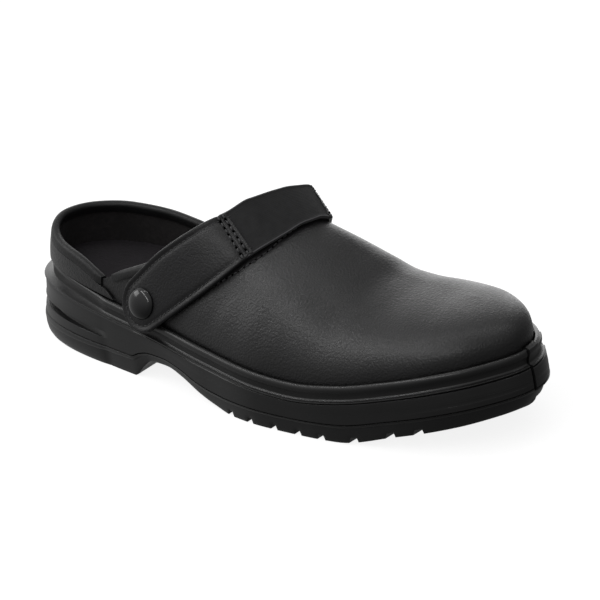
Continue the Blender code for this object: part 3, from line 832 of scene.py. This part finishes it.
def bindingSection(clear):  # folded over the edge of the wall: out from the wall, past its edge
    out, inside = counter["clear"] + counter["thick"], -shoe["wall"] - clear
    low, top, lining = -binding["width"], binding["top"], inside - binding["leather"]
    return np.array((
        (out, low), (out + 0.12, low + 0.4), (out + 0.2, 0.5 * low), (out + 0.12, -0.4), (out - 0.1, 0.45),
        (out - 0.5, 1.05), (out - 1.05, 1.45), (-0.4, top - 0.05), (-0.9, top), (-1.4, top - 0.05),
        (inside + 0.2, 1.4), (inside - 0.3, 0.95), (lining + 0.1, 0.35), (lining, -0.5), (lining, low + 0.4),
        (lining + 0.15, low), (inside, low), (inside, hair), (hair, hair), (hair, low),
    ))


def endClosed(section, left):  # near its end a binding closes in on the wall
    shut = binding["endShut"] * max(0.0, 1 - left / binding["endSteps"]) ** 2
    core = np.array((-0.5 * shoe["wall"], 0.5 * hair))
    size = np.array((0.5 * shoe["wall"] + 2 * hair, 2 * hair))
    kept = np.clip(section, core - size - (0, binding["width"]), core + size)
    return section + (kept - section) * shut


def throatPlace(share):
    side = sideOf(share)
    notch = shoe["notchAt"][side]
    return np.array((notch + (shoe["throatAt"] - notch) * throatForward(share), share * notchDrop(side)))


def makeBindings():
    ends = [side * turnOf(shoe["notchAt"][side] - hair) for side in (lateral, medial)]
    collar, throat = [], []
    steps = binding["collarSteps"]
    for step, around in enumerate(np.linspace(*ends, steps)):
        section = endClosed(bindingSection(binding["collarClear"]), min(step, steps - 1 - step))
        collar.append(onLast(around, openingRise(around) + section[:, 1], section[:, 0]))
    steps = binding["throatSteps"]
    for step, share in enumerate(np.linspace(-binding["throatBound"], binding["throatBound"], steps)):
        ahead, behind = min(share + binding["shareStep"], 1.0), max(share - binding["shareStep"], -1.0)
        along = unit(throatPlace(ahead) - throatPlace(behind))
        back = np.array((-along[1], along[0]))
        section = endClosed(bindingSection(binding["throatClear"]), min(step, steps - 1 - step))
        throat.append([onChart(*(throatPlace(share) + back * past), out) for out, past in section])
    for name, sections, node in (
        ("collar_roll", collar, "collar_binding"),
        ("throat_roll", throat, "throat_binding"),
    ):
        piece = makePiece(name, *swept(sections), [bindingLeather], binding["sharp"])
        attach(piece, "root")
        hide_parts(node)


makeBindings()

# the strap

strap = dict(
    tabThick=2.2,
    elasticThick=1.6,
    seam={lateral: -0.43, medial: 0.3},
    tabSteps=64,
    endSteps=18,
    columns=45,
    elasticSteps=110,
    stitchIn=3.1,
    seamSink=0.5,
    seamRows=(2.0, 4.9),
    tuck=0.025,
    edge=0.5,
    selvedge=1.3,
    selvedgeLift=0.25,
    elasticEdge=0.4,
    runStep=0.01,
    seamWidth=0.7,
    seamSpan=4,
    seamSteps=20,
    endAngle=86,
)
# top of a tab: in from its edge, how far it stands above its thickness
tabEdge = np.array((
    (0, -0.55), (0.3, -0.1), (0.7, 0.1), (1.2, 0.08), (2.4, -0.4), (3.1, -0.62), (3.7, -0.45), (4.7, -0.08),
    (6.5, 0.1), (10, 0.2),
))
# underside of the strap: run, front edge x y z, rear edge x y z
strapTable = np.array((
    (-1.0, 101.6, -46.2, 33.0, 84.4, -38.7, 54.0), (-0.79, 118.0, -42.9, 46.1, 100.8, -35.9, 70.4),
    (-0.6, 133.1, -38.4, 58.5, 114.3, -29.7, 80.9), (-0.5, 142.3, -32.4, 67.0, 121.3, -23.2, 85.4),
    (-0.43, 149.5, -23.5, 74.2, 127.2, -15.3, 88.0), (-0.25, 154.9, -15.2, 78.1, 133.6, -4.8, 92.4),
    (-0.08, 158.7, -6.0, 80.7, 137.6, 5.4, 92.6), (0.08, 160.8, 3.0, 82.1, 140.4, 13.6, 92.3),
    (0.2, 163.0, 11.0, 82.0, 142.3, 22.9, 90.1), (0.3, 163.6, 18.0, 79.6, 143.1, 30.2, 87.6),
    (0.38, 158.0, 26.1, 74.1, 138.8, 32.6, 84.2), (0.5, 149.5, 33.3, 62.3, 130.5, 31.8, 79.0),
    (0.75, 132.8, 35.7, 47.8, 114.1, 30.2, 68.0), (1.0, 115.4, 38.6, 31.1, 96.6, 33.7, 54.1),
))


def strapEdges(run):
    return [np.array([fromTable(strapTable, c, run) for c in cs]) for cs in ((1, 2, 3), (4, 5, 6))]


@functools.lru_cache(maxsize=None)
def strapFrame(run):
    low, high = max(run - strap["runStep"], -1.0), min(run + strap["runStep"], 1.0)
    along = unit(sum(strapEdges(high)) - sum(strapEdges(low)))
    front, rear = strapEdges(run)
    return (front + rear) / 2, along, rear - front, unit(np.cross(along, rear - front))


def strapWidth(run):
    return np.linalg.norm(strapFrame(run)[2])


def strapPoint(run, beyond, share, over):
    middle, along, across, out = strapFrame(run)
    return middle + along * math.copysign(beyond, run) + across * share + out * over


def edgeShares(count):  # closer together near the two edges
    return 0.5 * np.sin(np.linspace(-math.pi / 2, math.pi / 2, count))


def tabOver(fromEdge, fromSeam):  # top of the leather, sunk along the rows of the seam
    raised = smoothRow(tabEdge[:, 0], tabEdge[:, 1], fromEdge)
    sunk = sum(math.exp(-(((fromSeam - row) / strap["seamWidth"]) ** 2)) for row in strap["seamRows"])
    return strap["tabThick"] + raised - strap["seamSink"] * sunk


def seamDistance(side, run):
    return float(np.linalg.norm(strapFrame(run)[0] - strapFrame(strap["seam"][side])[0]))


def tabEndPoint(side, angle, share, top):  # on the round end: an angle about the stud, a share across
    radius = strapWidth(side) / 2
    beyond, share = radius * math.sin(angle), share * math.cos(angle)
    fromEdge = radius - math.hypot(beyond, share * 2 * radius)
    return strapPoint(side, beyond, share, tabOver(fromEdge, seamDistance(side, side)) if top else 0.0)


def tabPoint(side, run, share, top):
    width = strapWidth(run)
    fromEdge = (0.5 - abs(share)) * width
    return strapPoint(run, 0, share, tabOver(fromEdge, seamDistance(side, run)) if top else 0.0)


def makeTab(name, side, node):
    runs = np.linspace(side, strap["seam"][side], strap["tabSteps"])
    closer = np.linspace(strap["seamSpan"], 0, strap["seamSteps"])
    nearSeam = strap["seam"][side] + (runs[-2] - runs[-1]) * closer
    runs = np.concatenate((runs[: -strap["seamSpan"] - 1], nearSeam))
    shares = edgeShares(strap["columns"])
    angles = np.linspace(math.radians(strap["endAngle"]), 0, strap["endSteps"], endpoint=False)
    grids = []
    for top in (True, False):
        grid = [[tabEndPoint(side, angle, share, top) for share in shares] for angle in angles]
        grids.append(grid + [[tabPoint(side, float(run), share, top) for share in shares] for run in runs])
    piece = makePiece(name, *layered(*grids), [strapLeather])
    softenEdges(piece, strap["edge"])
    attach(piece, "root")
    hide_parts(node)


def makeElastic():
    ends = strap["seam"][lateral] - strap["tuck"], strap["seam"][medial] + strap["tuck"]
    runs = [float(run) for run in np.linspace(*ends, strap["elasticSteps"])]
    middles = np.array([strapFrame(run)[0] for run in runs])
    alongs = lengthsAlong(middles)
    grids, weave = [], []
    for top in (True, False):
        grid = []
        for run, along in zip(runs, alongs):
            width = strapWidth(run)
            line = []
            for share in edgeShares(strap["columns"]):
                fromEdge = (0.5 - abs(share)) * width
                lift = strap["selvedgeLift"] * math.exp(-((fromEdge / strap["selvedge"]) ** 4))
                over = strap["elasticThick"] + lift if top else hair
                line.append(strapPoint(run, 0, share, over))
                weave.append((along, share * width, fromEdge))
            grid.append(line)
        grids.append(grid)
    piece = makePiece("elastic_band", *layered(*grids), [webbing], marks=weave)
    softenEdges(piece, strap["elasticEdge"])
    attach(piece, "root")
    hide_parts("strap_elastic")


makeTab("tab_lateral", lateral, "strap_tab_lateral")
makeTab("tab_medial", medial, "strap_tab_medial")
makeElastic()

# stitches, sewn by one node tree along guide lines
stitching = dict(
    proud=0.1,
    sides=6,
    rings=5,
    edgeSteps=40,
    arcSteps=30,
    searchSteps=200,
    seamSteps=12,
    vampSteps=120,
    seamShort=0.6,
    farFromEdge=9.0,
)
# threads, and the painted shade of the needle holes (near-black blobs between the stitches): pitch, length,
# width, how far along the first one sits
seamThread, seamHoleShade = (3.7, 2.7, 1.0, 0.0), (3.7, 1.5, 1.15, 0.5)
edgeThread, vampThread, vampHoleShade = (2.8, 2.1, 0.5, 0.0), (3.4, 2.5, 0.7, 0.0), (3.4, 1.1, 0.8, 0.5)
# the seam over the vamp on the chart: at, from the ridge
vampSeam = (
    (121.5, -62), (129, -57), (137, -51), (141.5, -47), (145.5, -43), (148.5, -39), (151, -35), (153, -31.5),
    (154.5, -28), (155.5, -23), (156.5, -19), (157.6, -14.5), (158.5, -9), (158.8, 0), (158.3, 9),
    (157, 18), (154.4, 28), (150, 38), (145, 45), (138, 51),
)


def stitchTree():
    tree = bpy.data.node_groups.new("stitchRow", "GeometryNodeTree")
    tree.interface.new_socket("Guide", in_out="INPUT", socket_type="NodeSocketGeometry")
    for label in ("Pitch", "Length", "Width"):
        tree.interface.new_socket(label, in_out="INPUT", socket_type="NodeSocketFloat")
    tree.interface.new_socket("Thread", in_out="INPUT", socket_type="NodeSocketMaterial")
    tree.interface.new_socket("Stitches", in_out="OUTPUT", socket_type="NodeSocketGeometry")
    made = {}
    for label, kind in (
        ("start", "NodeGroupInput"), ("line", "GeometryNodeMeshToCurve"),
        ("spaced", "GeometryNodeResampleCurve"), ("ball", "GeometryNodeMeshUVSphere"),
        ("course", "GeometryNodeInputTangent"),
        ("turn", "FunctionNodeAlignRotationToVector"), ("size", "ShaderNodeCombineXYZ"),
        ("sewn", "GeometryNodeInstanceOnPoints"), ("soft", "GeometryNodeSetShadeSmooth"),
        ("real", "GeometryNodeRealizeInstances"), ("paint", "GeometryNodeSetMaterial"),
        ("end", "NodeGroupOutput"),
    ):
        made[label] = tree.nodes.new(kind)
    made["spaced"].mode = "LENGTH"
    made["turn"].axis = "X"
    made["ball"].inputs["Segments"].default_value = stitching["sides"]
    made["ball"].inputs["Rings"].default_value = stitching["rings"]
    made["ball"].inputs["Radius"].default_value = 0.5
    for source, out, target, into in (
        ("start", "Guide", "line", "Mesh"), ("line", "Curve", "spaced", "Curve"),
        ("start", "Pitch", "spaced", "Length"), ("spaced", "Curve", "sewn", "Points"),
        ("ball", "Mesh", "soft", "Geometry"), ("soft", "Geometry", "sewn", "Instance"),
        ("course", "Tangent", "turn", "Vector"), ("turn", "Rotation", "sewn", "Rotation"),
        ("start", "Length", "size", "X"), ("start", "Width", "size", "Y"),
        ("start", "Width", "size", "Z"), ("size", "Vector", "sewn", "Scale"),
        ("sewn", "Instances", "real", "Geometry"), ("real", "Geometry", "paint", "Geometry"),
        ("start", "Thread", "paint", "Material"), ("paint", "Geometry", "end", "Stitches"),
    ):
        tree.links.new(made[source].outputs[out], made[target].inputs[into])
    return tree


def sew(name, lines, tree, size, material):
    pitch, length, width, start = size
    points, edges = [], []
    for line in lines:
        line = np.asarray(line)
        run = lengthsAlong(line)
        steps = np.linspace(start * pitch, run[-1] - start * pitch, len(line))
        line = np.column_stack([np.interp(steps, run, line[:, c]) for c in range(3)])
        edges += [(len(points) + i, len(points) + i + 1) for i in range(len(line) - 1)]
        points += [tuple((p - shoe["centre"]) * mm) for p in line]
    mesh = bpy.data.meshes.new(name + "_guide")
    mesh.from_pydata(points, edges, [])
    guide = addToScene(name + "_guide", mesh)
    rows = guide.modifiers.new("stitches", "NODES")
    rows.node_group = tree
    values = {"Pitch": pitch * mm, "Length": length * mm, "Width": width * mm, "Thread": material}
    for socket in tree.interface.items_tree:
        if socket.in_out == "INPUT" and socket.name in values:
            rows[socket.identifier] = values[socket.name]
    graph = bpy.context.evaluated_depsgraph_get()
    sewn = bpy.data.meshes.new_from_object(guide.evaluated_get(graph))
    bpy.data.objects.remove(guide)
    piece = addToScene(name, sewn)
    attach(piece, "root")
    print(name, "sewn:", len(sewn.polygons), "faces")


def tabStitches(side):
    inset, proud, far = strap["stitchIn"], stitching["proud"], seamDistance(side, side)
    edges = {-1: [], 1: []}
    for run in np.linspace(strap["seam"][side], side, stitching["edgeSteps"]):
        width = strapWidth(float(run))
        for edge in edges:
            share = edge * (0.5 - inset / width)
            over = tabOver(inset, seamDistance(side, float(run)) + inset) + proud
            edges[edge].append(strapPoint(float(run), 0, share, over))
    width = strapWidth(side)
    reach, over = width / 2 - inset, tabOver(inset, far) + proud
    arc = []
    for angle in np.linspace(-math.pi / 2, math.pi / 2, stitching["arcSteps"])[1:-1]:
        arc.append(strapPoint(side, reach * math.cos(angle), reach * math.sin(angle) / width, over))
    around = [edges[-1] + arc + edges[1][::-1]]
    runs = np.linspace(strap["seam"][side], side, stitching["searchSteps"])
    apart = [seamDistance(side, float(run)) for run in runs]
    seams = []
    for row in strap["seamRows"]:
        run = float(np.interp(row, apart, runs))
        reach = 0.5 - stitching["seamShort"] * inset / strapWidth(run)
        over = tabOver(stitching["farFromEdge"], row) + proud
        shares = np.linspace(-reach, reach, stitching["seamSteps"])
        seams.append([strapPoint(run, 0, share, over) for share in shares])
    return around, seams


def sewAll():
    tree = stitchTree()
    for side, label in ((lateral, "lateral"), (medial, "medial")):
        around, seams = tabStitches(side)
        sew("edge_stitches_" + label, around, tree, edgeThread, thread)
        sew("seam_stitches_" + label, seams, tree, seamThread, thread)
        # painted shade of the needle holes between the seam stitches
        sew("seam_hole_shade_" + label, seams, tree, seamHoleShade, shade)
    chart = np.array(vampSeam, float)
    steps = np.linspace(0, len(chart) - 1, stitching["vampSteps"])
    line = [[smoothRow(np.arange(len(chart)), chart[:, c], s) for c in (0, 1)] for s in steps]
    line = [onChart(at, side, stitching["proud"]) for at, side in line]
    sew("vamp_stitches", [line], tree, vampThread, thread)
    # painted shade of the needle holes between the vamp stitches
    sew("vamp_hole_shade", [line], tree, vampHoleShade, shade)


sewAll()

# the press studs

stud = dict(
    radius=8.0,
    dome=3.4,
    seat=0.7,
    shank=2.6,
    flange=4.6,
    reach=7.4,
    sides=56,
    rim=0.55,
    sharp=60,
)
# cap of the stud under its dome: in from the radius, height
studFoot = ((0.5, 0.12), (0.0, 0.35), (0.0, stud["seat"]), (0.25, stud["seat"] + stud["rim"]))
studDome = dict(inset=0.3, fromAngle=14, toAngle=89, steps=16)


def makeStud(name, side, node):
    middle, _, _, axis = strapFrame(side)
    centre = middle + axis * strap["tabThick"]
    deep = -strap["tabThick"] - stud["reach"]
    profile = [(stud["flange"], deep - counter["thick"]), (stud["flange"], deep), (stud["shank"], deep)]
    profile.append((stud["shank"], studFoot[0][1]))
    profile += [(stud["radius"] - inset, height) for inset, height in studFoot]
    wide = stud["radius"] - studDome["inset"]
    for angle in np.radians(np.linspace(studDome["fromAngle"], studDome["toAngle"], studDome["steps"])):
        profile.append((wide * math.cos(angle), stud["seat"] + stud["dome"] * math.sin(angle)))
    beside = unit(np.cross(axis, (0, 0, 1)))
    above = np.cross(beside, axis)
    rings = []
    for radius, height in profile:
        angles = np.linspace(0, 2 * math.pi, stud["sides"], endpoint=False)
        spokes = np.outer(np.cos(angles), beside) + np.outer(np.sin(angles), above)
        rings.append(centre + axis * height + spokes * radius)
    piece = makePiece(name, *swept(rings), [lacquer], stud["sharp"])
    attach(piece, "root")
    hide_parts(node)


makeStud("press_stud_lateral", lateral, "stud_lateral")
makeStud("press_stud_medial", medial, "stud_medial")

# floor, light and camera

studio = dict(
    aim=(146.0, 0.0, 40.0),
    azimuth=39.34,
    elevation=24.51,
    away=2218.0,
    roll=-4.66,
    focal=270.15,
    shift=(0.02888, -0.00175),
    skyLow=0.11,
    skyEdge=(-0.5, 0.4),
    skyBelow=0.3,
    floorGlow=0.86,
    floorGrey=0.30,
    floorHalf=6.0,
    sensor=36.0,
    clip=(0.05, 50.0),
)
# glows of the sky: towards, how tight, how bright
glows = (
    ((-0.585, -0.265, 0.766), 2.0, 0.38),
    ((-0.942, 0.263, -0.208), 5.0, 0.36),
    ((0.26, -0.462, 0.848), 3.0, 0.22),
)
# softboxes: name, place in metres, what their long side points along, length and height, watts
softboxes = (
    ("strip", (-0.12, -0.85, 1.18), (0.855, -0.49, -0.177), (2.3, 0.08), 5.4),
    ("overhead", (-0.15, 0.12, 1.50), (0.87, 0.5, 0.0), (2.0, 0.08), 2.3),
    ("heelSide", (-1.39, -0.49, 0.78), (0.33, -0.94, 0.0), (0.9, 0.6), 4.0),
    ("backdrop", (-0.92, 1.185, 0.16), (0.77, 0.63, 0.0), (1.3, 1.35), 8.0),
)


def turnedTo(right, up, back, spot):
    rows = zip(np.column_stack((right, up, back)), spot)
    return Matrix([(*row, place) for row, place in rows] + [(0, 0, 0, 1)])


def makeCamera():
    a, e, r = (math.radians(studio[k]) for k in ("azimuth", "elevation", "roll"))
    right = np.array((math.cos(a), math.sin(a), 0.0))
    back = np.array((math.sin(a) * math.cos(e), -math.cos(a) * math.cos(e), math.sin(e)))
    up = np.cross(back, right)
    right, up = right * math.cos(r) + up * math.sin(r), up * math.cos(r) - right * math.sin(r)
    data = bpy.data.cameras.new("camera")
    data.lens, data.sensor_width = studio["focal"], studio["sensor"]
    data.shift_x, data.shift_y = studio["shift"]
    data.clip_start, data.clip_end = studio["clip"]
    spot = (np.array(studio["aim"]) + back * studio["away"] - shoe["centre"]) * mm
    bpy.context.scene.camera = addToScene("camera", data, turnedTo(right, up, back, spot))


def makeFloor():
    mesh = bpy.data.meshes.new("floor")
    half, grey, glow = studio["floorHalf"], studio["floorGrey"], studio["floorGlow"]
    corners = [(-half, -half, 0), (half, -half, 0), (half, half, 0), (-half, half, 0)]
    mesh.from_pydata(corners, [], [(0, 1, 2, 3)])
    paper = Finish("floorPaper", (grey, grey, grey), 0.9, Specular_IOR_Level=0.0, Emission_Strength=glow)
    paper.shader.inputs["Emission Color"].default_value = (1, 1, 1, 1)
    mesh.materials.append(paper.material)
    floor = addToScene("floor", mesh)
    floor.visible_glossy = floor.visible_diffuse = floor.visible_shadow = False


def skyGlow(tree, place, towards, tightness, strength):
    facing, share, curve, glow = (
        tree.nodes.new("ShaderNode" + kind) for kind in ("VectorMath", "MapRange", "Math", "Math")
    )
    facing.operation, curve.operation, glow.operation = "DOT_PRODUCT", "POWER", "MULTIPLY"
    facing.inputs[1].default_value = towards
    share.inputs["From Min"].default_value = -1.0
    curve.inputs[1].default_value, glow.inputs[1].default_value = tightness, strength
    for source, target in (
        (place, facing.inputs[0]), (facing.outputs["Value"], share.inputs["Value"]),
        (share.outputs["Result"], curve.inputs[0]), (curve.outputs["Value"], glow.inputs[0]),
    ):
        tree.links.new(source, target)
    return glow.outputs["Value"]


def makeSky():  # white to the camera, and to the shoe a dim dome with the glows
    world = bpy.data.worlds.new("studio")
    bpy.context.scene.world = world
    world.use_nodes = True
    tree = world.node_tree
    dome = tree.nodes["Background"]
    white, seen, mix, place, height, edge, high, low = (
        tree.nodes.new("ShaderNode" + kind)
        for kind in (
            "Background", "LightPath", "MixShader", "TexCoord", "SeparateXYZ", "MapRange", "Math", "Math",
        )
    )
    place = place.outputs["Generated"]
    edge.interpolation_type, high.operation, low.operation = "SMOOTHSTEP", "MULTIPLY", "ADD"
    edge.inputs["From Min"].default_value, edge.inputs["From Max"].default_value = studio["skyEdge"]
    edge.inputs["To Min"].default_value = studio["skyBelow"]
    low.inputs[1].default_value = studio["skyLow"]
    dome.inputs["Color"].default_value = white.inputs["Color"].default_value = (1, 1, 1, 1)
    upper, *others = (skyGlow(tree, place, *row) for row in glows)
    total = high.outputs["Value"]
    for glow in others:
        joined = tree.nodes.new("ShaderNodeMath")
        tree.links.new(total, joined.inputs[0])
        tree.links.new(glow, joined.inputs[1])
        total = joined.outputs["Value"]
    for source, target in (
        (place, height.inputs[0]), (height.outputs["Z"], edge.inputs["Value"]), (upper, high.inputs[0]),
        (edge.outputs["Result"], high.inputs[1]), (total, low.inputs[0]),
        (low.outputs["Value"], dome.inputs["Strength"]), (seen.outputs["Is Camera Ray"], mix.inputs[0]),
        (dome.outputs[0], mix.inputs[1]), (white.outputs[0], mix.inputs[2]),
        (mix.outputs[0], tree.nodes["World Output"].inputs["Surface"]),
    ):
        tree.links.new(source, target)


def makeStudio():
    makeCamera()
    makeFloor()
    makeSky()
    for name, spot, along, size, power in softboxes:
        lamp = bpy.data.lights.new(name, "AREA")
        lamp.shape, lamp.size, lamp.size_y, lamp.energy = "RECTANGLE", size[0], size[1], power
        away = unit(np.array(spot))
        upward = unit(np.cross(away, along))
        addToScene(name, lamp, turnedTo(np.cross(upward, away), upward, away, spot))
    bpy.context.scene.view_settings.view_transform = "Standard"


makeStudio()
print("studio ready")
